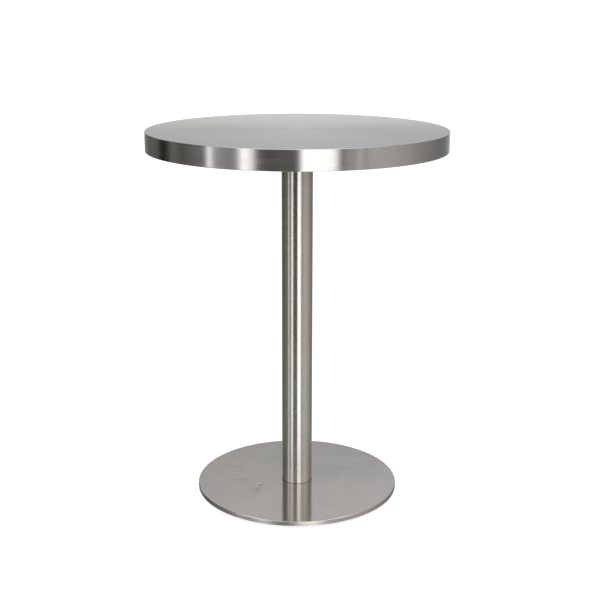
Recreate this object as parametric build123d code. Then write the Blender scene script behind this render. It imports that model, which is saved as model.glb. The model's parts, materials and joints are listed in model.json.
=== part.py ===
"""Round bistro table: stainless steel top on a single tubular column with a flat disc base.

Frame: millimetres, +Z up, origin on the floor under the middle of the column. The table is turned about Z,
and the square mounting plate and the four levelling feet set the X and Y directions.

How it is put together, from the floor up:
  four low-profile levelling feet screw into a steel ballast plate,
  a stainless cover pan sits over the plate, and a hub is screwed to the plate through the cover,
  the column tube stands on the cover and is centred by the hub,
  a socket welded under the square mounting plate centres the tube's upper end,
  one long tie rod runs from the hub to a nut inside the socket and pulls the whole column tight,
  the mounting plate is screwed into threaded inserts in the top's core board,
  the core board carries a stainless top sheet, a stainless edge band with a turned-in lip, and a laminate underside.

Threads are plain cylinders at their running size.
"""

import os

from build123d import *

os.makedirs("parts", exist_ok=True)

# ---------------------------------------------------------------- driving dimensions, mm
OVERALL_HEIGHT = 760.0

# top
TOP_D = 600.0
TOP_THICKNESS = 39.0
SHEET_T = 1.0  # stainless sheet of the top, the band and the base cover
TOP_EDGE_R = 0.8  # rounding of the top sheet's rim
BAND_BEND_R = 1.5  # outer radius where the band turns into its lip
BAND_LIP_W = 14.0  # how far the lip reaches in under the board, from the outer face
CORE_GAP = 0.3  # glue gap between core and band
LAMINATE_T = 1.0

# mounting plate and its fixings
PLATE_SIDE = 250.0
PLATE_T = 6.0
PLATE_CORNER_R = 15.0
PLATE_EDGE_CHAMFER = 0.8
PLATE_ACCESS_D = 36.0  # a socket spanner reaches the tie rod nut through it
SCREW_PITCH = 105.0  # hole distance from the centre lines
SCREW_HOLE_D = 6.6
SCREW_D = 5.9  # M6
SCREW_LENGTH = 20.0
SCREW_HEAD_D = 10.5
SCREW_HEAD_H = 3.3
SCREW_HEX_AF = 4.0
SCREW_HEX_DEPTH = 2.1
WASHER_D = 12.0
WASHER_BORE_D = 6.4
WASHER_T = 1.6
INSERT_D = 9.9
INSERT_BORE_D = 6.1
INSERT_LENGTH = 13.0
INSERT_POCKET_D = 10.0
INSERT_POCKET_DEPTH = 16.0
LAMINATE_HOLE_D = 10.6

# column
COLUMN_OD = 63.5
COLUMN_WALL = 1.5
COLUMN_END_CHAMFER = 0.3
SPIGOT_GAP = 0.15  # radial, between hub or socket and the tube's bore

# socket under the mounting plate
SOCKET_DEPTH = 25.0
SOCKET_WALL = 4.0
SOCKET_FLOOR = 6.0
SOCKET_HOLE_D = 13.0

# tie rod, M12
ROD_D = 11.8
ROD_BORE_D = 12.0
ROD_PROUD = 4.0  # rod end above the nut
ROD_WASHER_D = 24.0
ROD_WASHER_T = 2.5
LOCK_WASHER_D = 21.0
LOCK_WASHER_BORE_D = 12.4
LOCK_WASHER_T = 2.5
LOCK_WASHER_SPLIT = 2.0
ROD_NUT_AF = 18.0
ROD_NUT_H = 10.0

# base
BASE_D = 420.0
BASE_EDGE_R = 2.0  # outer radius of the cover's rim
BASE_PLATE_T = 8.0
BASE_PLATE_GAP = 0.3  # between plate and cover skirt
BASE_CLEARANCE = 6.0  # underside of the plate above the floor
COVER_HOLE_D = 50.0
HUB_H = 18.0
HUB_PILOT_GAP = 0.2
HUB_SCREW_CIRCLE_D = 36.0
HUB_SCREW_D = 7.9  # M8, countersunk
HUB_SCREW_BORE_D = 8.0
HUB_SCREW_HEAD_D = 16.0
HUB_SCREW_LENGTH = 20.0
HUB_SCREW_HEX_AF = 5.0
HUB_SCREW_HEX_DEPTH = 2.7
HUB_SCREW_RECESS = 0.2

# levelling feet
FOOT_CIRCLE_D = 340.0
FOOT_PAD_D = 30.0
FOOT_PAD_H = 3.6
FOOT_STUD_D = 7.9  # M8
FOOT_BORE_D = 8.0
FOOT_HEX_AF = 13.0
FOOT_HEX_H = 1.4

# ---------------------------------------------------------------- heights derived from these
z_top = OVERALL_HEIGHT
z_sheet = z_top - SHEET_T  # underside of the top sheet
z_band = z_top - TOP_THICKNESS  # lowest point of the top
z_lip = z_band + SHEET_T  # upper face of the lip, and the laminate's underside
z_core = z_lip + LAMINATE_T  # underside of the core board
z_plate_top = z_lip
z_plate = z_plate_top - PLATE_T  # underside of the mounting plate, and the tube's upper end
z_base_under = BASE_CLEARANCE
z_base_plate = z_base_under + BASE_PLATE_T  # upper face of the ballast plate
z_base = z_base_plate + SHEET_T  # upper face of the cover, where the tube stands
z_hub = z_base + HUB_H
z_socket = z_plate - SOCKET_DEPTH
z_socket_floor = z_socket + SOCKET_FLOOR
z_lock = z_socket_floor + ROD_WASHER_T
z_nut = z_lock + LOCK_WASHER_T
z_rod_end = z_nut + ROD_NUT_H + ROD_PROUD

top_r = TOP_D / 2
band_in_r = top_r - SHEET_T
core_r = band_in_r - CORE_GAP
base_r = BASE_D / 2
skirt_in_r = base_r - SHEET_T
plate_r = skirt_in_r - BASE_PLATE_GAP
tube_r = COLUMN_OD / 2
bore_r = tube_r - COLUMN_WALL
spigot_r = bore_r - SPIGOT_GAP

SCREW_PLACES = [
    (x, y)
    for x in (-SCREW_PITCH, 0, SCREW_PITCH)
    for y in (-SCREW_PITCH, 0, SCREW_PITCH)
    if (x, y) != (0, 0)
]
HUB_SCREW_PLACES = [
    tuple(Vector(HUB_SCREW_CIRCLE_D / 2, 0, 0).rotate(Axis.Z, a))[:2]
    for a in (0, 90, 180, 270)
]
FOOT_PLACES = [
    tuple(Vector(FOOT_CIRCLE_D / 2, 0, 0).rotate(Axis.Z, a))[:2]
    for a in (45, 135, 225, 315)
]


def disc(r, z0, z1, x=0.0, y=0.0):
    """Solid cylinder on a vertical axis between two heights."""
    return Pos(x, y, (z0 + z1) / 2) * Cylinder(r, z1 - z0)


def ring(r_out, r_in, z0, z1, x=0.0, y=0.0):
    return disc(r_out, z0, z1, x, y) - disc(r_in, z0 - 1, z1 + 1, x, y)


def hexagon(af, z0, z1, x=0.0, y=0.0):
    """Hexagonal prism of that width across flats."""
    side = extrude(RegularPolygon(af / 2, 6, major_radius=False), z1 - z0)
    return Pos(x, y, z0) * side


def turned(points):
    """Solid of revolution about Z from (radius, height) points."""
    wire = Polyline(*[(r, 0, z) for r, z in points], close=True)
    return revolve(make_face(wire), Axis.Z, 360)


def rim(shape, r, z, tol=0.02):
    """Circular edges of that radius at that height, centred on Z."""
    return [
        e
        for e in shape.edges().filter_by(GeomType.CIRCLE)
        if abs(e.radius - r) < tol
        and abs(e.arc_center.Z - z) < tol
        and abs(e.arc_center.X) < tol
        and abs(e.arc_center.Y) < tol
    ]


def save(shape, name):
    """Writes one node; several separate solids stay separate."""
    if isinstance(shape, list):
        shape = Compound(children=shape)
    export_step(shape, f"parts/{name}.step")


# ---------------------------------------------------------------- top assembly
top_sheet = disc(top_r, z_sheet, z_top)
top_sheet = fillet(rim(top_sheet, top_r, z_top), TOP_EDGE_R)

band_outer = disc(top_r, z_band, z_sheet)
band_outer = fillet(rim(band_outer, top_r, z_band), BAND_BEND_R)
edge_band = (
    band_outer
    - disc(band_in_r, z_lip, z_sheet + 1)
    - disc(top_r - BAND_LIP_W, z_band - 1, z_lip + 1)
)

core_board = disc(core_r, z_core, z_sheet)
underside_laminate = disc(core_r, z_lip, z_core)
for x, y in SCREW_PLACES:
    core_board -= disc(
        INSERT_POCKET_D / 2, z_core - 1, z_core + INSERT_POCKET_DEPTH, x, y
    )
    underside_laminate -= disc(LAMINATE_HOLE_D / 2, z_lip - 1, z_core + 1, x, y)

core_inserts = []
for x, y in SCREW_PLACES:
    one = ring(INSERT_D / 2, INSERT_BORE_D / 2, z_core, z_core + INSERT_LENGTH, x, y)
    # two shallow knurl grooves round the outside of each insert
    for g in (4.0, 8.0):
        one -= ring(
            INSERT_D / 2 + 1, INSERT_D / 2 - 0.5, z_core + g, z_core + g + 1.0, x, y
        )
    core_inserts.append(one)

# ---------------------------------------------------------------- mounting plate, socket and screws
mounting_plate = Pos(0, 0, z_plate) * extrude(
    RectangleRounded(PLATE_SIDE, PLATE_SIDE, PLATE_CORNER_R), PLATE_T
)
mounting_plate = chamfer(
    mounting_plate.faces().sort_by(Axis.Z)[0].outer_wire().edges(), PLATE_EDGE_CHAMFER
)
mounting_plate -= disc(PLATE_ACCESS_D / 2, z_plate - 1, z_plate_top + 1)
for x, y in SCREW_PLACES:
    mounting_plate -= disc(SCREW_HOLE_D / 2, z_plate - 1, z_plate_top + 1, x, y)

mounting_socket = disc(spigot_r, z_socket, z_plate)
mounting_socket = chamfer(rim(mounting_socket, spigot_r, z_socket), 1.0)
mounting_socket -= disc(spigot_r - SOCKET_WALL, z_socket_floor, z_plate + 1)
mounting_socket -= disc(SOCKET_HOLE_D / 2, z_socket - 1, z_socket_floor + 1)

z_head = z_plate - WASHER_T  # bearing face of the screw heads
top_screws, top_screw_washers = [], []
for x, y in SCREW_PLACES:
    # button head: a low dome under the bearing face, flat in the middle, with a hexagon socket
    r, h = SCREW_HEAD_D / 2, SCREW_HEAD_H
    outline = Polyline((0, 0, 0), (r, 0, 0), (r, 0, -0.4))
    dome = ThreePointArc((r, 0, -0.4), (r - 0.95, 0, -2.2), (r - 2.3, 0, -h))
    close = Polyline((r - 2.3, 0, -h), (0, 0, -h), (0, 0, 0))
    head = Pos(x, y, z_head) * revolve(make_face(outline + dome + close), Axis.Z, 360)
    shank = disc(SCREW_D / 2, z_head - 0.5, z_head + SCREW_LENGTH, x, y)
    screw = head + shank
    screw -= hexagon(SCREW_HEX_AF, z_head - h - 1, z_head - h + SCREW_HEX_DEPTH, x, y)
    tip = [
        e
        for e in screw.edges().filter_by(GeomType.CIRCLE)
        if abs(e.arc_center.Z - (z_head + SCREW_LENGTH)) < 0.01
    ]
    top_screws.append(chamfer(tip, 0.6))
    top_screw_washers.append(
        ring(WASHER_D / 2, WASHER_BORE_D / 2, z_plate - WASHER_T, z_plate, x, y)
    )

# ---------------------------------------------------------------- column and tie rod
column_tube = disc(tube_r, z_base, z_plate)
column_tube = chamfer(
    rim(column_tube, tube_r, z_base) + rim(column_tube, tube_r, z_plate),
    COLUMN_END_CHAMFER,
)
column_tube -= disc(bore_r, z_base - 1, z_plate + 1)

tie_rod = disc(ROD_D / 2, z_base + 2, z_rod_end)
tie_rod = chamfer(
    rim(tie_rod, ROD_D / 2, z_base + 2) + rim(tie_rod, ROD_D / 2, z_rod_end), 1.0
)
tie_rod_washer = ring(
    ROD_WASHER_D / 2, SOCKET_HOLE_D / 2, z_socket_floor, z_lock
)
tie_rod_lock_washer = ring(
    LOCK_WASHER_D / 2, LOCK_WASHER_BORE_D / 2, z_lock, z_nut
) - Pos(LOCK_WASHER_D / 2, 0, (z_lock + z_nut) / 2) * Box(
    LOCK_WASHER_D, LOCK_WASHER_SPLIT, LOCK_WASHER_T + 2
)
nut_body = hexagon(ROD_NUT_AF, z_nut, z_nut + ROD_NUT_H)
# corners of the nut are turned off at both faces
nut_turn = turned(
    [
        (0, z_nut),
        (ROD_NUT_AF / 2, z_nut),
        (ROD_NUT_AF / 2 + 2.6, z_nut + 1.5),
        (ROD_NUT_AF / 2 + 2.6, z_nut + ROD_NUT_H - 1.5),
        (ROD_NUT_AF / 2, z_nut + ROD_NUT_H),
        (0, z_nut + ROD_NUT_H),
    ]
)
tie_rod_nut = (nut_body & nut_turn) - disc(
    ROD_BORE_D / 2, z_nut - 1, z_nut + ROD_NUT_H + 1
)

# ---------------------------------------------------------------- base
cover_outer = disc(base_r, z_base_under, z_base)
cover_outer = fillet(rim(cover_outer, base_r, z_base), BASE_EDGE_R)
cover_inner = disc(skirt_in_r, z_base_under - 1, z_base_plate)
cover_inner = fillet(rim(cover_inner, skirt_in_r, z_base_plate), BASE_EDGE_R - SHEET_T)
base_cover = cover_outer - cover_inner - disc(COVER_HOLE_D / 2, z_base_plate - 1, z_base + 1)

base_plate = disc(plate_r, z_base_under, z_base_plate)
base_plate = chamfer(rim(base_plate, plate_r, z_base_plate), 1.2)
base_plate = chamfer(rim(base_plate, plate_r, z_base_under), 0.5)
z_sink = z_base_under + HUB_SCREW_RECESS
for x, y in HUB_SCREW_PLACES:
    base_plate -= disc(HUB_SCREW_BORE_D / 2 + 0.3, z_base_under - 1, z_base_plate + 1, x, y)
    r = HUB_SCREW_HEAD_D / 2 + 0.4
    base_plate -= Pos(x, y, 0) * turned(
        [
            (0, z_base_under - 1),
            (r + 1, z_base_under - 1),
            (r, z_base_under),
            (r - 4.1, z_base_under + 4.1),
            (0, z_base_under + 4.1),
        ]
    )
for x, y in FOOT_PLACES:
    base_plate -= disc(FOOT_BORE_D / 2, z_base_under - 1, z_base_plate + 1, x, y)

base_hub = disc(spigot_r, z_base, z_hub)
base_hub = chamfer(rim(base_hub, spigot_r, z_hub), 1.5)
base_hub += disc(COVER_HOLE_D / 2 - HUB_PILOT_GAP, z_base_plate, z_base + 1)
base_hub -= disc(ROD_BORE_D / 2, z_base_plate - 1, z_hub + 1)
for x, y in HUB_SCREW_PLACES:
    base_hub -= disc(
        HUB_SCREW_BORE_D / 2, z_base_plate - 1, z_sink + HUB_SCREW_LENGTH + 2, x, y
    )

base_hub_screws = []
for x, y in HUB_SCREW_PLACES:
    r, s = HUB_SCREW_HEAD_D / 2, HUB_SCREW_D / 2
    screw = Pos(x, y, 0) * turned(
        [
            (0, z_sink),
            (r, z_sink),
            (s, z_sink + (r - s)),
            (s, z_sink + HUB_SCREW_LENGTH - 0.8),
            (s - 0.8, z_sink + HUB_SCREW_LENGTH),
            (0, z_sink + HUB_SCREW_LENGTH),
        ]
    )
    base_hub_screws.append(
        screw
        - hexagon(HUB_SCREW_HEX_AF, z_sink - 1, z_sink + HUB_SCREW_HEX_DEPTH, x, y)
    )

# ---------------------------------------------------------------- levelling feet
# The nylon pad snaps over the stud's flange and stays still on the floor while the stud turns in it.
pad_r = FOOT_PAD_D / 2
pad = turned(
    [
        (0, 0),
        (pad_r - 1.0, 0),
        (pad_r - 0.3, 0.3),
        (pad_r, 1.0),
        (pad_r, 1.7),
        (pad_r - 2.4, FOOT_PAD_H),
        (4.27, FOOT_PAD_H),
        (4.27, 2.6),
        (7.2, 2.6),
        (7.2, 0.8),
        (0, 0.8),
    ]
)
stud_top = 12.9
stud = turned(
    [
        (0, 0.9),
        (6.9, 0.9),
        (6.9, 2.5),
        (4.2, 2.5),
        (4.2, FOOT_PAD_H + 0.2),
        (FOOT_STUD_D / 2, FOOT_PAD_H + 0.2),
        (FOOT_STUD_D / 2, stud_top - 0.7),
        (FOOT_STUD_D / 2 - 0.7, stud_top),
        (0, stud_top),
    ]
)
stud += hexagon(FOOT_HEX_AF, FOOT_PAD_H + 0.1, FOOT_PAD_H + 0.1 + FOOT_HEX_H)

# ---------------------------------------------------------------- one file per node
save(top_sheet, "top_sheet")
save(edge_band, "edge_band")
save(core_board, "core_board")
save(underside_laminate, "underside_laminate")
save(core_inserts, "core_inserts")
save(mounting_plate, "mounting_plate")
save(mounting_socket, "mounting_socket")
save(top_screws, "top_screws")
save(top_screw_washers, "top_screw_washers")
save(column_tube, "column_tube")
save(tie_rod, "tie_rod")
save(tie_rod_washer, "tie_rod_washer")
save(tie_rod_lock_washer, "tie_rod_lock_washer")
save(tie_rod_nut, "tie_rod_nut")
save(base_cover, "base_cover")
save(base_plate, "base_plate")
save(base_hub, "base_hub")
save(base_hub_screws, "base_hub_screws")
for n, (x, y) in enumerate(FOOT_PLACES, 1):
    save(Pos(x, y, 0) * pad, f"foot_pad_{n}")
    save(Pos(x, y, 0) * stud, f"foot_stud_{n}")
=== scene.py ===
import json
import math
import random

import bpy
from mathutils import Matrix, Vector


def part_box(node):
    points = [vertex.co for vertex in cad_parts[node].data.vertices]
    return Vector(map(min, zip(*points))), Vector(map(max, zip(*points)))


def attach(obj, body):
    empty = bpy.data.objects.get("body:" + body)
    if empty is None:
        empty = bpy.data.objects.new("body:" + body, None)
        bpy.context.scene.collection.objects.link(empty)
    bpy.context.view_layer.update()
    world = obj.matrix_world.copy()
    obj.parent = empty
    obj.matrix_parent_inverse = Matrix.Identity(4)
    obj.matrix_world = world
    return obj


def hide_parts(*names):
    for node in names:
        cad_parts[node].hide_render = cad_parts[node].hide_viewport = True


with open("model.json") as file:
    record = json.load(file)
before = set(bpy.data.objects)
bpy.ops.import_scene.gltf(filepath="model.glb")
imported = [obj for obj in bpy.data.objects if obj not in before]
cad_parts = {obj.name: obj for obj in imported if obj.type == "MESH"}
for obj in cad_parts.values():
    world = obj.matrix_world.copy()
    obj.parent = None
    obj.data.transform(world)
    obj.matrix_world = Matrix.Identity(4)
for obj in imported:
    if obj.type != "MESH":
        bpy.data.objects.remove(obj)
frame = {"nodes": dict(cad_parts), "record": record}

random.seed(11)
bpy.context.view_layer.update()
nodes = frame["nodes"]
scene = bpy.context.scene
TAU = 2 * math.pi


# ------------------------------------------------------------------ node helpers
class Tree:
    """Short way to write a shader node tree."""

    def __init__(self, tree):
        self.t = tree
        tree.nodes.clear()

    def node(self, kind, inputs=None, **props):
        n = self.t.nodes.new(kind)
        for k, v in props.items():
            setattr(n, k, v)
        for k, v in (inputs or {}).items():
            self.put(n.inputs[k], v)
        return n

    def put(self, socket, v):
        if isinstance(v, bpy.types.NodeSocket):
            self.t.links.new(v, socket)
        elif v is not None:
            socket.default_value = v

    def math(self, op, a, b=None, c=None, clamp=False):
        n = self.node("ShaderNodeMath", operation=op, use_clamp=clamp)
        for i, v in enumerate((a, b, c)):
            if v is not None:
                self.put(n.inputs[i], v)
        return n.outputs[0]

    def remap(self, v, a, b, c=0.0, d=1.0, smooth=False):
        n = self.node(
            "ShaderNodeMapRange",
            interpolation_type="SMOOTHSTEP" if smooth else "LINEAR",
            clamp=True,
        )
        for k, x in zip(("Value", "From Min", "From Max", "To Min", "To Max"), (v, a, b, c, d)):
            self.put(n.inputs[k], x)
        return n.outputs["Result"]

    def noise(self, vector, scale, detail=2.0, rough=0.5, distortion=0.0):
        n = self.node("ShaderNodeTexNoise", noise_dimensions="3D")
        self.put(n.inputs["Vector"], vector)
        n.inputs["Scale"].default_value = scale
        n.inputs["Detail"].default_value = detail
        n.inputs["Roughness"].default_value = rough
        n.inputs["Distortion"].default_value = distortion
        return n.outputs["Fac"]

    def mix(self, fac, a, b, blend="MIX"):
        n = self.node("ShaderNodeMix", data_type="RGBA", blend_type=blend)
        self.put(n.inputs[0], fac)
        for sock, v in ((n.inputs[6], a), (n.inputs[7], b)):
            if isinstance(v, tuple) and len(v) == 3:
                v = (*v, 1.0)
            self.put(sock, v)
        return n.outputs[2]

    def combine(self, x, y, z):
        n = self.node("ShaderNodeCombineXYZ")
        for i, v in enumerate((x, y, z)):
            self.put(n.inputs[i], v)
        return n.outputs[0]

    def split(self, v):
        n = self.node("ShaderNodeSeparateXYZ")
        self.put(n.inputs[0], v)
        return n.outputs

    def scaled(self, v, s):
        n = self.node("ShaderNodeVectorMath", operation="MULTIPLY")
        self.put(n.inputs[0], v)
        n.inputs[1].default_value = s
        return n.outputs[0]

    def bump(self, height, strength, distance, normal=None):
        n = self.node("ShaderNodeBump")
        n.inputs["Strength"].default_value = strength
        n.inputs["Distance"].default_value = distance
        self.put(n.inputs["Height"], height)
        if normal is not None:
            self.put(n.inputs["Normal"], normal)
        return n.outputs[0]


def new_material(name):
    m = bpy.data.materials.new(name)
    m.use_nodes = True
    t = Tree(m.node_tree)
    out = t.node("ShaderNodeOutputMaterial")
    bsdf = t.node("ShaderNodeBsdfPrincipled")
    t.t.links.new(bsdf.outputs[0], out.inputs["Surface"])
    return m, t, bsdf


def mul(c, k):
    return tuple(min(1.0, x * k) for x in c)


# ------------------------------------------------------------------ materials
def brushed(name, colour, rough, grain, streak_f, streak_k, rough_var=0.25, tint=0.05,
            aniso=1.0, mottle=(0.06, 6.0), smudges=(), bump=0.0, streak=0.4, grazing=None, rim=None, foot=None):
    """Brushed stainless. grain says which way the brush lines run:
    'ring' circles on a flat face, 'wall' rings round an upright cylinder, 'x' straight along X."""
    m, t, b = new_material(name)
    pos = t.node("ShaderNodeTexCoord").outputs["Object"]
    x, y, z = t.split(pos)
    if grain == "x":
        lines = t.combine(t.math("MULTIPLY", x, streak_k), t.math("MULTIPLY", y, streak_f), t.math("MULTIPLY", z, streak_f))
    else:
        r = t.math("SQRT", t.math("ADD", t.math("MULTIPLY", x, x), t.math("MULTIPLY", y, y)))
        inv = t.math("DIVIDE", streak_k, t.math("MAXIMUM", r, 0.004))
        along = r if grain == "ring" else z
        lines = t.combine(t.math("MULTIPLY", x, inv), t.math("MULTIPLY", y, inv), t.math("MULTIPLY", along, streak_f))
    fine = t.noise(lines, 1.0, 3.0, 0.65)
    broad = t.noise(t.scaled(lines, (0.6, 0.6, 0.11)) if grain != "x" else t.scaled(lines, (0.5, 0.12, 0.12)), 1.0, 2.0, 0.5)
    cloud = t.noise(pos, mottle[1], 3.0, 0.55)
    warm = t.noise(t.scaled(pos, (1.0, 1.0, 0.8)), mottle[1] * 0.37, 2.0, 0.5)

    # colour: streak contrast, soft clouds, and a slow drift between a warmer and a cooler grey
    cool = (colour[0] * (1 - tint), colour[1], min(1.0, colour[2] * (1 + tint)))
    hot = (min(1.0, colour[0] * (1 + tint)), colour[1], colour[2] * (1 - tint))
    c = t.mix(t.remap(warm, 0.35, 0.65), cool, hot)
    dark = t.mix(1.0, c, (1 - mottle[0],) * 3, "MULTIPLY")
    c = t.mix(t.remap(cloud, 0.3, 0.7), dark, c)
    c = t.mix(t.remap(fine, 0.25, 0.75, 0.0, streak), c, t.mix(1.0, c, (0.90, 0.90, 0.90), "MULTIPLY"))

    rr = t.remap(fine, 0.3, 0.7, rough * (1 - rough_var), rough * (1 + rough_var))
    rr = t.math("MULTIPLY", rr, t.remap(broad, 0.3, 0.7, 0.92, 1.08))
    rr = t.math("MULTIPLY", rr, t.remap(cloud, 0.3, 0.7, 0.94, 1.07))
    for (sx, sy, wide, deep, amount, darker) in smudges:
        # handling marks: soft blots drawn out along X
        wobble = t.remap(t.noise(t.scaled(pos, (0.5, 1.0, 1.0)), 34.0, 3.0, 0.6), 0.3, 0.7, -0.5, 0.5)
        u = t.math("DIVIDE", t.math("SUBTRACT", x, sx), wide)
        v = t.math("DIVIDE", t.math("SUBTRACT", y, sy), deep)
        dist = t.math("SQRT", t.math("ADD", t.math("MULTIPLY", u, u), t.math("MULTIPLY", v, v)))
        mask = t.remap(t.math("ADD", dist, wobble), 0.0, 1.0, 1.0, 0.0, smooth=True)
        patch = t.math("MULTIPLY", mask, t.remap(t.noise(t.scaled(pos, (0.6, 1.0, 1.0)), 60.0, 3.0, 0.6), 0.38, 0.62, 0.3, 1.0))
        rr = t.math("ADD", rr, t.math("MULTIPLY", patch, amount))
        c = t.mix(t.math("MULTIPLY", patch, darker), c, t.mix(1.0, c, (0.73, 0.70, 0.67), "MULTIPLY"))
    if foot is not None:
        # painted shade: a thin near-black ring on the cover where the tube stands on it, for the shadow in that corner,
        # with a little dirt
        shade_ring_r = t.math("SQRT", t.math("ADD", t.math("MULTIPLY", x, x), t.math("MULTIPLY", y, y)))
        c = t.mix(t.remap(shade_ring_r, foot[0], foot[1], 0.85, 0.0, smooth=True), c, (0.05, 0.045, 0.04))
    if rim is not None:
        # the cut edge is duller than the sheet's face
        rr = t.math("ADD", rr, t.remap(z, rim[1], rim[0], rim[2], 0.0, smooth=True))
    if grazing is not None:
        # brush marks flatten out and shine when seen along the sheet
        facing = t.node("ShaderNodeLayerWeight", {"Blend": 0.5}).outputs["Facing"]
        rr = t.math("MULTIPLY", rr, t.remap(facing, 0.68, 0.88, 1.0, grazing, smooth=True))
    t.put(b.inputs["Base Color"], c)
    t.put(b.inputs["Roughness"], rr)
    b.inputs["Metallic"].default_value = 1.0
    b.inputs["Anisotropic"].default_value = aniso
    if grain == "x":
        t.put(b.inputs["Tangent"], t.combine(1.0, 0.0, 0.0))
    else:
        t.put(b.inputs["Tangent"], t.node("ShaderNodeTangent", direction_type="RADIAL", axis="Z").outputs[0])
    b.inputs["Anisotropic Rotation"].default_value = 0.25
    height = t.math("ADD", t.math("MULTIPLY", fine, 0.7), t.math("MULTIPLY", broad, 0.5))
    if bump:
        t.put(b.inputs["Normal"], t.bump(height, bump, 0.00006))
    return m


def plated(name, colour, rough, scale=40.0, dull=(0.80, 0.82, 0.85), worn=0.35, bump=0.15, metallic=1.0):
    """Small metal parts: plating or oxide with cloudy patches and fine tumbling marks."""
    m, t, b = new_material(name)
    pos = t.node("ShaderNodeTexCoord").outputs["Object"]
    cloud = t.noise(pos, scale, 4.0, 0.6)
    fine = t.noise(pos, scale * 22, 3.0, 0.6)
    spangle = t.node("ShaderNodeTexVoronoi", feature="F1")
    t.put(spangle.inputs["Vector"], pos)
    spangle.inputs["Scale"].default_value = scale * 7
    c = t.mix(t.remap(cloud, 0.35, 0.65, 0.0, worn), tuple(colour), tuple(a * d for a, d in zip(colour, dull)))
    c = t.mix(t.remap(spangle.outputs["Distance"], 0.0, 0.6, 0.0, 0.18), c, mul(colour, 1.12))
    t.put(b.inputs["Base Color"], c)
    t.put(b.inputs["Roughness"], t.remap(t.math("ADD", cloud, t.math("MULTIPLY", fine, 0.5)), 0.45, 1.05, rough * 0.75, rough * 1.3))
    b.inputs["Metallic"].default_value = metallic
    t.put(b.inputs["Normal"], t.bump(fine, bump, 0.00005))
    return m


def powder_coat(name, colour, rough, peel=900.0, speck=0.5):
    """Painted steel with orange peel and a little dust."""
    m, t, b = new_material(name)
    pos = t.node("ShaderNodeTexCoord").outputs["Object"]
    peel_n = t.noise(pos, peel, 2.0, 0.5)
    cloud = t.noise(pos, 9.0, 4.0, 0.6)
    dust = t.noise(pos, 240.0, 4.0, 0.7)
    c = t.mix(t.remap(cloud, 0.35, 0.65), mul(colour, 0.82), mul(colour, 1.2))
    c = t.mix(t.remap(dust, 0.6, 0.75, 0.0, 0.10 * speck), c, (0.35, 0.34, 0.32))
    t.put(b.inputs["Base Color"], c)
    t.put(b.inputs["Roughness"], t.math("ADD", t.remap(cloud, 0.3, 0.7, rough * 0.9, rough * 1.12), t.remap(dust, 0.45, 0.8, 0.0, 0.12)))
    t.put(b.inputs["Normal"], t.bump(peel_n, 0.35, 0.00012))
    return m


def laminate(name, colour):
    """Balancing laminate: matt, faintly mottled, with a very fine pressed texture."""
    m, t, b = new_material(name)
    pos = t.node("ShaderNodeTexCoord").outputs["Object"]
    grainy = t.noise(pos, 1300.0, 3.0, 0.6)
    fibre = t.noise(t.scaled(pos, (30.0, 420.0, 30.0)), 1.0, 3.0, 0.6)
    cloud = t.noise(pos, 5.0, 3.0, 0.5)
    scuff = t.noise(t.scaled(pos, (22.0, 140.0, 22.0)), 1.0, 4.0, 0.75, 0.6)
    c = t.mix(t.remap(cloud, 0.3, 0.7), mul(colour, 0.85), mul(colour, 1.18))
    c = t.mix(t.remap(fibre, 0.45, 0.75, 0.0, 0.5), c, mul(colour, 1.6))
    c = t.mix(t.remap(scuff, 0.66, 0.74, 0.0, 0.22), c, (0.16, 0.155, 0.15))
    t.put(b.inputs["Base Color"], c)
    t.put(b.inputs["Roughness"], t.math("ADD", t.remap(fibre, 0.3, 0.7, 0.52, 0.64), t.remap(scuff, 0.6, 0.75, 0.0, -0.12)))
    t.put(b.inputs["Normal"], t.bump(t.math("ADD", grainy, t.math("MULTIPLY", fibre, 0.6)), 0.3, 0.00008))
    return m


def chipboard(name, colour):
    """Pressed wood chips, pale and dark flakes at two sizes."""
    m, t, b = new_material(name)
    pos = t.node("ShaderNodeTexCoord").outputs["Object"]
    warp = t.node("ShaderNodeVectorMath", operation="ADD")
    t.put(warp.inputs[0], pos)
    t.put(warp.inputs[1], t.scaled(t.node("ShaderNodeTexNoise", {"Vector": pos, "Scale": 90.0}).outputs["Color"], (0.004, 0.004, 0.004)))
    chips = t.node("ShaderNodeTexVoronoi", feature="F1")
    t.put(chips.inputs["Vector"], t.scaled(warp.outputs[0], (1.0, 1.0, 2.6)))
    chips.inputs["Scale"].default_value = 260.0
    dust = t.noise(pos, 900.0, 3.0, 0.6)
    tone = t.split(chips.outputs["Color"])[0]
    c = t.mix(tone, mul(colour, 0.62), mul(colour, 1.3))
    c = t.mix(t.remap(dust, 0.55, 0.7, 0.0, 0.4), c, mul(colour, 0.45))
    t.put(b.inputs["Base Color"], c)
    t.put(b.inputs["Roughness"], t.remap(tone, 0.0, 1.0, 0.72, 0.9))
    t.put(b.inputs["Normal"], t.bump(t.math("ADD", chips.outputs["Distance"], dust), 0.5, 0.0003))
    return m


def nylon(name, colour):
    """Moulded nylon: spark-eroded texture, a paler rubbed bloom and fine scratches."""
    m, t, b = new_material(name)
    pos = t.node("ShaderNodeTexCoord").outputs["Object"]
    spark = t.noise(pos, 2200.0, 3.0, 0.6)
    cloud = t.noise(pos, 90.0, 4.0, 0.6)
    rub = t.noise(t.scaled(pos, (120.0, 900.0, 120.0)), 1.0, 3.0, 0.7)
    c = t.mix(t.remap(cloud, 0.35, 0.65), mul(colour, 0.8), mul(colour, 1.3))
    c = t.mix(t.remap(rub, 0.58, 0.75, 0.0, 0.35), c, (0.17, 0.17, 0.175))
    t.put(b.inputs["Base Color"], c)
    t.put(b.inputs["Roughness"], t.remap(cloud, 0.3, 0.7, 0.46, 0.62))
    t.put(b.inputs["Normal"], t.bump(t.math("ADD", spark, rub), 0.35, 0.00008))
    return m


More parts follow.
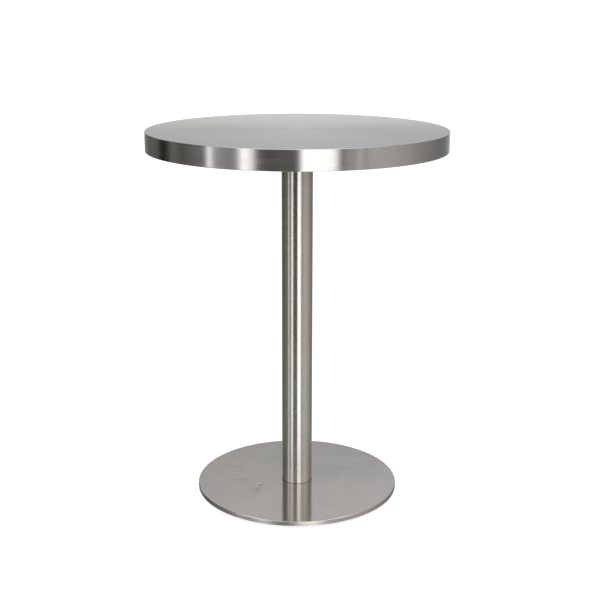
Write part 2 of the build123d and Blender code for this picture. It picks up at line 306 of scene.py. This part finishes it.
STEEL = (0.66, 0.655, 0.645)
MATERIALS = {
    "steel_top": brushed("steel_top", (0.655, 0.653, 0.655), 0.27, "ring", 900.0, 1.6, rough_var=0.10, tint=0.008, mottle=(0.03, 5.0), aniso=0.7, streak=0.3, grazing=0.30),
    "steel_band": brushed("steel_band", STEEL, 0.24, "wall", 2200.0, 3.0, rough_var=0.04, tint=0.008, mottle=(0.03, 9.0), streak=0.10),
    # painted light: the column's steel is coloured brighter and warmer than the other steel parts, to stand in for the
    # brighter, warmer light it shows
    "steel_column": brushed("steel_column", (0.785, 0.765, 0.723), 0.30, "wall", 1500.0, 1.1, rough_var=0.04, tint=0.02, mottle=(0.09, 22.0), streak=0.10),
    # foot= paints a ring of shade on the cover round the tube's foot
    "steel_base": brushed("steel_base", (0.67, 0.649, 0.639), 0.145, "x", 1100.0, 7.0, rough_var=0.15, tint=0.02, mottle=(0.09, 8.0), aniso=0.8, streak=0.2,
                          smudges=((-0.128, 0.052, 0.028, 0.034, 0.10, 1.0), (-0.120, -0.008, 0.028, 0.014, 0.09, 1.0), (-0.150, 0.012, 0.050, 0.035, 0.04, 0.3), (-0.085, -0.060, 0.030, 0.040, 0.03, 0.25)),
                          rim=(0.0143, 0.0130, 0.30), foot=(0.0321, 0.0331)),
    "particle_board": chipboard("particle_board", (0.52, 0.38, 0.23)),
    "backing_laminate": laminate("backing_laminate", (0.045, 0.043, 0.042)),
    "black_coated_plate": powder_coat("black_coated_plate", (0.028, 0.028, 0.030), 0.42),
    "black_screw": plated("black_screw", (0.10, 0.10, 0.105), 0.38, 60.0, (0.6, 0.55, 0.5), 0.6, 0.25),
    "zinc_washer": plated("zinc_washer", (0.62, 0.63, 0.65), 0.30, 55.0),
    "zinc_insert": plated("zinc_insert", (0.66, 0.58, 0.34), 0.33, 60.0, (0.85, 0.95, 0.9)),
    "zinc_rod": plated("zinc_rod", (0.57, 0.58, 0.60), 0.33, 30.0),
    "zinc_nut": plated("zinc_nut", (0.60, 0.61, 0.63), 0.30, 55.0),
    "ballast_plate": powder_coat("ballast_plate", (0.040, 0.040, 0.042), 0.55, 500.0, 1.0),
    "hub_steel": plated("hub_steel", (0.38, 0.37, 0.36), 0.42, 35.0, (0.8, 0.72, 0.62), 0.6, 0.3),
    "foot_nylon": nylon("foot_nylon", (0.050, 0.050, 0.053)),
    "foot_stud_steel": plated("foot_stud_steel", (0.62, 0.63, 0.65), 0.28, 60.0),
}
slot_of = {s["node"]: s["material_slot"] for s in frame["record"]["subparts"]}
for name, obj in nodes.items():
    obj.data.materials.clear()
    obj.data.materials.append(MATERIALS[slot_of[name]])


# ------------------------------------------------------------------ turned sheet-metal pieces
def arc(cr, cz, rad, a0, a1, n):
    """Points on an arc in the (radius, height) plane, angles in degrees from the +r direction."""
    return [
        (cr + rad * math.cos(math.radians(a0 + (a1 - a0) * i / n)), cz + rad * math.sin(math.radians(a0 + (a1 - a0) * i / n)))
        for i in range(n + 1)
    ]


def run(p, q, n):
    """n - 1 points between p and q, without the ends."""
    return [(p[0] + (q[0] - p[0]) * i / n, p[1] + (q[1] - p[1]) * i / n) for i in range(1, n)]


def turned(name, profile, segments, node, body, move=None, sharp=35.0):
    """Closed profile of (radius, height) points turned about Z. A point with radius 0 is a pole."""
    verts, faces, rings = [], [], []
    for r, z in profile:
        if r < 1e-9:
            rings.append([len(verts)])
            verts.append((0.0, 0.0, z))
            continue
        ring = []
        for s in range(segments):
            a = TAU * s / segments
            ring.append(len(verts))
            verts.append((r * math.cos(a), r * math.sin(a), z))
        rings.append(ring)
    if move:
        verts = [move(*v) for v in verts]
    pairs = list(zip(rings, rings[1:]))
    if len(rings[0]) > 1:
        pairs.append((rings[-1], rings[0]))
    for lo, hi in pairs:
        if len(lo) == 1 and len(hi) == 1:
            continue
        for s in range(segments):
            n = (s + 1) % segments
            if len(lo) == 1:
                faces.append((lo[0], hi[s], hi[n]))
            elif len(hi) == 1:
                faces.append((lo[s], hi[0], lo[n]))
            else:
                faces.append((lo[s], hi[s], hi[n], lo[n]))
    mesh = bpy.data.meshes.new(name)
    mesh.from_pydata(verts, [], faces)
    mesh.validate()
    obj = bpy.data.objects.new(name, mesh)
    scene.collection.objects.link(obj)
    import bmesh

    bm = bmesh.new()
    bm.from_mesh(mesh)
    bmesh.ops.recalc_face_normals(bm, faces=bm.faces)
    bm.to_mesh(mesh)
    bm.free()
    mesh.shade_smooth()
    mesh.set_sharp_from_angle(angle=math.radians(sharp))
    mesh.materials.append(MATERIALS[slot_of[node]])
    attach(obj, body)
    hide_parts(node)
    return obj


def waves(seed, count, f0, f1):
    """A few gentle plane waves, the unevenness of sheet metal. Returns a function of a point, between -1 and 1."""
    rnd = random.Random(seed)
    terms = []
    for _ in range(count):
        f = rnd.uniform(f0, f1)
        v = Vector((rnd.gauss(0, 1), rnd.gauss(0, 1), rnd.gauss(0, 1))).normalized() * f * TAU
        terms.append((v.x, v.y, v.z, rnd.uniform(0, TAU)))
    return lambda x, y, z: sum(math.sin(a * x + b * y + c * z + p) for a, b, c, p in terms) / len(terms)


(_, _, sheet_lo), (top_r, _, sheet_hi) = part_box("top_sheet")
top_r = 0.300
(_, _, band_lo), (_, _, band_hi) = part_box("edge_band")
(_, _, tube_lo), (_, _, tube_hi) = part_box("column_tube")
(_, _, cover_lo), (_, _, cover_hi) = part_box("base_cover")
SHEET = 0.001

# top sheet: flat disc with a small rolled edge
er = 0.0008
flat = [(0.0, sheet_hi)] + [(top_r * k, sheet_hi) for k in (0.02, 0.05, 0.1, 0.18, 0.27, 0.36, 0.45, 0.54, 0.63, 0.72, 0.8, 0.87, 0.93, 0.97)]
edge = [(top_r - er - 0.0006, sheet_hi), (top_r - er - 0.0002, sheet_hi)] + arc(top_r - er, sheet_hi - er, er, 90, 0, 8)
low = [(top_r, sheet_lo + 0.00008), (top_r - 0.00008, sheet_lo), (top_r - 0.003, sheet_lo), (top_r * 0.5, sheet_lo), (0.0, sheet_lo)]
w_top = waves(3, 7, 2.0, 6.0)


def top_move(x, y, z):
    r = math.hypot(x, y)
    if z < sheet_hi - 1e-6 or r > top_r - 0.0012:
        return (x, y, z)
    fade = min(1.0, (top_r - r) / 0.03)
    return (x, y, z - 0.00003 * fade * (1 + w_top(x, y, z)))


turned("top_sheet_rolled", flat + edge + low, 512, "top_sheet", "table", top_move)

# edge band: upright wall, rounded bend, lip turned in underneath
br = 0.0015
wall_in = top_r - SHEET
zb_top, zb_bend = band_hi, band_lo + br
outer = [(top_r - 0.00008, zb_top), (top_r, zb_top - 0.00008), (top_r, zb_top - 0.0005)]
outer += run((top_r, zb_top - 0.0005), (top_r, zb_bend + 0.0003), 10) + [(top_r, zb_bend + 0.0003)]
outer += arc(top_r - br, zb_bend, br, 0, -90, 8)
lip_r = 0.286
inner = [(top_r - br - 0.0004, band_lo), (lip_r + 0.0006, band_lo), (lip_r + 0.0003, band_lo)]
inner += arc(lip_r + 0.0003, band_lo + 0.0003, 0.0003, -90, -180, 3)[1:]
inner += [(lip_r, band_lo + SHEET), (wall_in - 0.0005, band_lo + SHEET), (wall_in, band_lo + SHEET + 0.0005), (wall_in, zb_top)]
w_band = waves(5, 8, 3.0, 11.0)


def band_move(x, y, z):
    r = math.hypot(x, y)
    if r < top_r - 0.0004 or z > zb_top - 0.0003 or z < zb_bend:
        return (x, y, z)
    fade = min(1.0, (zb_top - z) / 0.004, (z - zb_bend) / 0.004)
    k = (r - 0.00004 * fade * (1 + w_band(x, y, z * 0.4))) / r
    return (x * k, y * k, z)


turned("edge_band_rolled", outer + inner, 512, "edge_band", "table", band_move)

# column tube: wall with chamfered ends
cr_out, cr_in, ch = 0.03175, 0.03025, 0.0003
foot_r = 0.0008
out_wall = [(cr_out - foot_r - 0.0002, tube_lo)] + arc(cr_out - foot_r, tube_lo + foot_r, foot_r, -90, 0, 6) + [(cr_out, tube_lo + foot_r + 0.0004)]
out_wall += run((cr_out, tube_lo + foot_r + 0.0004), (cr_out, tube_hi - ch - 0.0004), 96)
out_wall += [(cr_out, tube_hi - ch - 0.0004), (cr_out, tube_hi - ch), (cr_out - ch, tube_hi)]
in_wall = [(cr_in, tube_hi), (cr_in, tube_lo)]
w_tube = waves(9, 9, 4.0, 16.0)


def tube_move(x, y, z):
    r = math.hypot(x, y)
    if r < cr_out - 0.0001 or z < tube_lo + 0.0006 or z > tube_hi - 0.0006:
        return (x, y, z)
    fade = min(1.0, (z - tube_lo) / 0.01, (tube_hi - z) / 0.01)
    k = (r - 0.000012 * fade * (1 + w_tube(x, y, z * 0.5))) / r
    return (x * k, y * k, z)


turned("column_tube_drawn", out_wall + in_wall, 256, "column_tube", "table", tube_move)

# base cover: spun pan with a rounded rim, a skirt and a hole under the tube
base_r, fr = 0.210, 0.002
hole_r = 0.025
top_rings = [(hole_r, cover_hi), (hole_r + 0.003, cover_hi)]
top_rings += [(0.03 + (base_r - fr - 0.0006 - 0.03) * k / 130, cover_hi) for k in range(131)]
rim_ring = [(base_r - fr - 0.0002, cover_hi)] + arc(base_r - fr, cover_hi - fr, fr, 90, 0, 10)
skirt = [(base_r, cover_hi - fr - 0.0004), (base_r, cover_lo + 0.0005), (base_r, cover_lo + 0.0002), (base_r - 0.0002, cover_lo)]
inside = [(base_r - SHEET + 0.0001, cover_lo), (base_r - SHEET, cover_lo + 0.0001), (base_r - SHEET, cover_hi - SHEET - 0.001)]
inside += arc(base_r - SHEET - 0.001, cover_hi - SHEET - 0.001, 0.001, 0, 90, 4)[1:] + [(hole_r, cover_hi - SHEET)]
w_base = waves(21, 9, 2.5, 9.0)
DENTS = (  # x, y, half width, half length, depth
    (-0.0840, -0.0500, 0.0032, 0.0150, 0.00055),
    (-0.0800, -0.0340, 0.0060, 0.0060, 0.00030),
    (0.0710, 0.0520, 0.0050, 0.0050, 0.00005),
)


def base_move(x, y, z):
    r = math.hypot(x, y)
    if z < cover_hi - 1e-6 or r > base_r - fr - 0.0003 or r < hole_r + 0.001:
        return (x, y, z)
    fade = min(1.0, (base_r - fr - r) / 0.02, (r - hole_r) / 0.02)
    drop = 0.00004 * fade * (1 + w_base(x, y, z))
    for px, py, half_w, half_l, depth in DENTS:
        q = math.hypot((x - px) / half_w, (y - py) / half_l)
        if q < 2.0:
            drop += depth * math.exp(-q * q * 1.6)
    return (x, y, z - drop)


turned("base_cover_spun", top_rings + rim_ring + skirt + inside, 384, "base_cover", "table", base_move)


# ------------------------------------------------------------------ floor, light and camera
def make_floor():
    rings = [0.0, 0.3, 1.0, 4.0, 20.0, 200.0]
    verts, faces = [(0, 0, 0)], []
    n = 96
    for r in rings[1:]:
        for s in range(n):
            verts.append((r * math.cos(TAU * s / n), r * math.sin(TAU * s / n), 0.0))
    for s in range(n):
        faces.append((0, 1 + s, 1 + (s + 1) % n))
    for k in range(len(rings) - 2):
        a, b = 1 + k * n, 1 + (k + 1) * n
        for s in range(n):
            faces.append((a + s, b + s, b + (s + 1) % n, a + (s + 1) % n))
    mesh = bpy.data.meshes.new("floor")
    mesh.from_pydata(verts, [], faces)
    obj = bpy.data.objects.new("floor", mesh)
    scene.collection.objects.link(obj)
    m, t, b = new_material("floor_matt_white")
    pos = t.node("ShaderNodeTexCoord").outputs["Object"]
    c = t.mix(t.remap(t.noise(pos, 3.0, 3.0, 0.5), 0.3, 0.7), (0.28, 0.28, 0.28), (0.30, 0.30, 0.30))
    t.put(b.inputs["Base Color"], c)
    b.inputs["Roughness"].default_value = 0.9
    b.inputs["Specular IOR Level"].default_value = 0.1
    b.inputs["Emission Color"].default_value = (1.0, 1.0, 1.0, 1.0)
    b.inputs["Emission Strength"].default_value = 0.88
    obj.data.materials.append(m)
    obj.visible_glossy = False
    return obj


make_floor()

world = bpy.data.worlds.new("studio")
scene.world = world
world.use_nodes = True
w = Tree(world.node_tree)
w_out = w.node("ShaderNodeOutputWorld")
direction = w.node("ShaderNodeTexCoord").outputs["Generated"]
dx, dy, dz = w.split(direction)
# azimuth in degrees, 0 towards the front (-Y), positive to the right (+X); height in degrees
azimuth = w.math("MULTIPLY", w.math("ARCTAN2", dx, w.math("MULTIPLY", dy, -1.0)), 180 / math.pi)
height = w.math("MULTIPLY", w.math("ARCSINE", dz), 180 / math.pi)


# light plan of the studio by azimuth: what stands low (the sweep and its pools of light),
# at the height of the table top, and above it (softboxes, flags and the walls between them)
PLAN = (
    (-180, 0.5, 0.5, 0.5),
    (-160, 0.5, 0.2, 0.2),
    (-145, 0.3, 0.1, 0.2),
    (-128, 0.2, 0.1, 0.2),
    (-120, 0.0, 0.0, 0.0),
    (-110, 0.4, 0.0, 0.1),
    (-104, 0.2, 0.1, 0.4),
    (-92, 0.3, 0.0, 0.1),
    (-76, 0.1, 0.1, 0.5),
    (-71, 0.0, 0.1, 0.5),
    (-67, 1.4, 2.0, 2.3),
    (-63, 0.3, 0.3, 0.6),
    (-48, 0.3, 0.1, 0.5),
    (-44, 0.6, 0.4, 0.6),
    (-40, 2.1, 1.9, 2.1),
    (-34, 1.3, 1.2, 1.2),
    (-29, 0.0, 0.0, 0.0),
    (-12, 0.2, 0.0, 0.0),
    (1, 0.1, 0.0, 0.1),
    (4, 1.7, 1.8, 2.7),
    (27, 1.4, 1.7, 2.4),
    (32, 0.0, 0.1, 0.2),
    (38, 0.3, 0.3, 0.5),
    (41, 0.5, 0.1, 0.4),
    (46, 0.6, 0.5, 0.7),
    (50, 0.6, 0.1, 0.5),
    (54, 0.5, 0.4, 0.7),
    (72, 0.5, 0.4, 0.7),
    (98, 0.4, 0.3, 0.4),
    (130, 0.2, 0.2, 0.2),
    (144, 0.2, 0.2, 0.2),
    (158, 0.6, 0.4, 0.3),
    (168, 1.3, 1.3, 1.3),
    (180, 1.3, 1.3, 1.3),
)
# warmer or cooler light by azimuth
TINTS = (
    (-180, (1.0, 1.0, 0.98)), (-110, (1.06, 1.0, 0.86)), (-80, (1.0, 1.0, 0.94)), (-60, (1.0, 0.98, 1.04)),
    (-38, (1.02, 1.0, 0.98)), (-22, (1.06, 1.0, 0.96)), (14, (1.0, 1.0, 1.0)), (40, (1.05, 1.0, 0.94)),
    (100, (1.05, 1.0, 0.96)), (150, (1.0, 1.0, 1.0)), (180, (1.0, 1.0, 1.0)),
)
PEAK = 5.0


def ramp(side, stops):
    """Light by azimuth on one side; the stops run over 0...180 degrees of that side."""
    fac = w.math("MULTIPLY", azimuth, side / 180.0, clamp=True)
    n = w.node("ShaderNodeValToRGB")
    w.put(n.inputs[0], fac)
    cr = n.color_ramp
    cr.interpolation = "LINEAR"
    points = sorted((abs(a) / 180.0, c) for a, c in stops)
    while len(cr.elements) > 1:
        cr.elements.remove(cr.elements[-1])
    cr.elements[0].position, cr.elements[0].color = points[0][0], (*points[0][1], 1.0)
    for pos, c in points[1:]:
        cr.elements.new(pos).color = (*c, 1.0)
    return n.outputs[0]


def at_zero(stops):
    """The plan's value straight ahead, between its two nearest stops."""
    for (a, u), (b, v) in zip(stops, stops[1:]):
        if a <= 0.0 <= b:
            f = -a / (b - a)
            return tuple(x * (1 - f) + y * f for x, y in zip(u, v))


def around(stops):
    zero = (0.0, at_zero(stops))
    left = ramp(-1.0, [s for s in stops if s[0] < 0] + [zero])
    right = ramp(1.0, [s for s in stops if s[0] > 0] + [zero])
    return w.mix(w.math("GREATER_THAN", azimuth, 0.0), left, right)


def vec(op, a, b):
    n = w.node("ShaderNodeVectorMath", operation=op)
    w.put(n.inputs[0], a)
    w.put(n.inputs[1], b)
    return n.outputs[0]


def blend(fac, a, b):
    return w.mix(fac, a, b)


def layer(k):
    return around([(row[0], (row[k] / PEAK,) * 3) for row in PLAN])


low, mid, high = layer(1), layer(2), layer(3)
# in front the room evens out above the softboxes, so the flat faces keep their grey when seen from behind
even = vec("MINIMUM", vec("MAXIMUM", high, w.combine(0.06, 0.06, 0.06)), w.combine(0.22, 0.22, 0.22))
front = w.math("MULTIPLY", w.remap(height, 8.0, 16.0, smooth=True), w.remap(w.math("ABSOLUTE", azimuth), 80.0, 100.0, 1.0, 0.0))
high = blend(front, high, even)
# the back half of the room is paler above the level of the softboxes' feet
upper = w.math("MULTIPLY", w.remap(height, 14.0, 24.0, smooth=True), w.remap(w.math("ABSOLUTE", azimuth), 126.0, 140.0, smooth=True))
high = blend(upper, high, w.combine(0.098, 0.098, 0.097))
# straight behind the table: a pale backdrop, brighter along its foot, just above the top's level
behind = w.remap(w.math("ABSOLUTE", azimuth), 140.0, 158.0, smooth=True)
foot = w.remap(height, 5.75, 6.25, 1.0, 0.0, smooth=True)
near = w.remap(height, 8.0, 20.0)  # 0 for what the top mirrors, 1 for what the base mirrors
wall_top = w.remap(w.math("ABSOLUTE", dx), 0.0, 0.10, 0.1015, 0.0955, smooth=True)
wall_base = w.math("MULTIPLY", w.remap(height, 23.0, 27.0, 0.064, 0.150), w.remap(dx, -0.09, 0.09, 0.97, 1.03))
wall = w.math("ADD", w.math("MULTIPLY", wall_top, w.math("SUBTRACT", 1.0, near)), w.math("MULTIPLY", wall_base, near))
back = w.math("ADD", w.math("MULTIPLY", foot, 0.085), wall)
high = blend(behind, high, w.combine(w.math("MULTIPLY", back, w.remap(near, 0.0, 1.0, 1.0, 1.012)), back, w.math("MULTIPLY", back, w.remap(near, 0.0, 1.0, 1.005, 0.992))))
light = blend(w.remap(height, -17.0, -11.0, smooth=True), low, mid)
light = blend(w.remap(height, 1.0, 7.0, smooth=True), light, high)
light = blend(w.math("MULTIPLY", behind, w.remap(height, 0.5, 2.0, smooth=True)), light, high)
light = vec("MULTIPLY", light, w.combine(*(w.remap(height, 55.0, 69.0, PEAK, 0.0, smooth=True),) * 3))
light = vec("MULTIPLY", light, around(list(TINTS)))
# ceiling bounce
ceil_v = w.math("MULTIPLY", w.remap(height, 50.0, 68.0, smooth=True), 2.0)
light = vec("ADD", light, w.combine(ceil_v, ceil_v, ceil_v))

env = w.node("ShaderNodeBackground", {"Color": light, "Strength": 1.0})
white = w.node("ShaderNodeBackground", {"Color": (1.0, 1.0, 1.0, 1.0), "Strength": 1.0})
pick = w.node("ShaderNodeMixShader")
w.put(pick.inputs[0], w.node("ShaderNodeLightPath").outputs["Is Camera Ray"])
w.put(pick.inputs[1], env.outputs[0])
w.put(pick.inputs[2], white.outputs[0])
w.t.links.new(pick.outputs[0], w_out.inputs["Surface"])

sun = bpy.data.lights.new("soft_overhead", "SUN")
sun.energy = 1.1
sun.angle = math.radians(75)
sun_obj = bpy.data.objects.new("soft_overhead", sun)
sun_obj.rotation_euler = (math.radians(8), math.radians(-6), 0)
sun_obj.visible_glossy = False
scene.collection.objects.link(sun_obj)

# camera: level with nothing, 15.3 degrees down, 2.2 m in front of the column
cam = bpy.data.cameras.new("camera")
cam.sensor_width = 36.0
cam.lens = 67.18
cam.shift_x = 0.00468
cam.dof.use_dof = False
cam.clip_end = 500.0
cam_obj = bpy.data.objects.new("camera", cam)
pitch, roll = 0.266586, 0.001337
cam_obj.matrix_world = (
    Matrix.Translation((0.0, -2.22027, 1.016678))
    @ Matrix.Rotation(math.pi / 2 - pitch, 4, "X")
    @ Matrix.Rotation(roll, 4, "Z")
)
scene.collection.objects.link(cam_obj)
scene.camera = cam_obj

scene.view_settings.view_transform = "Standard"
scene.view_settings.look = "None"
scene.view_settings.exposure = 0.0
scene.view_settings.gamma = 1.0
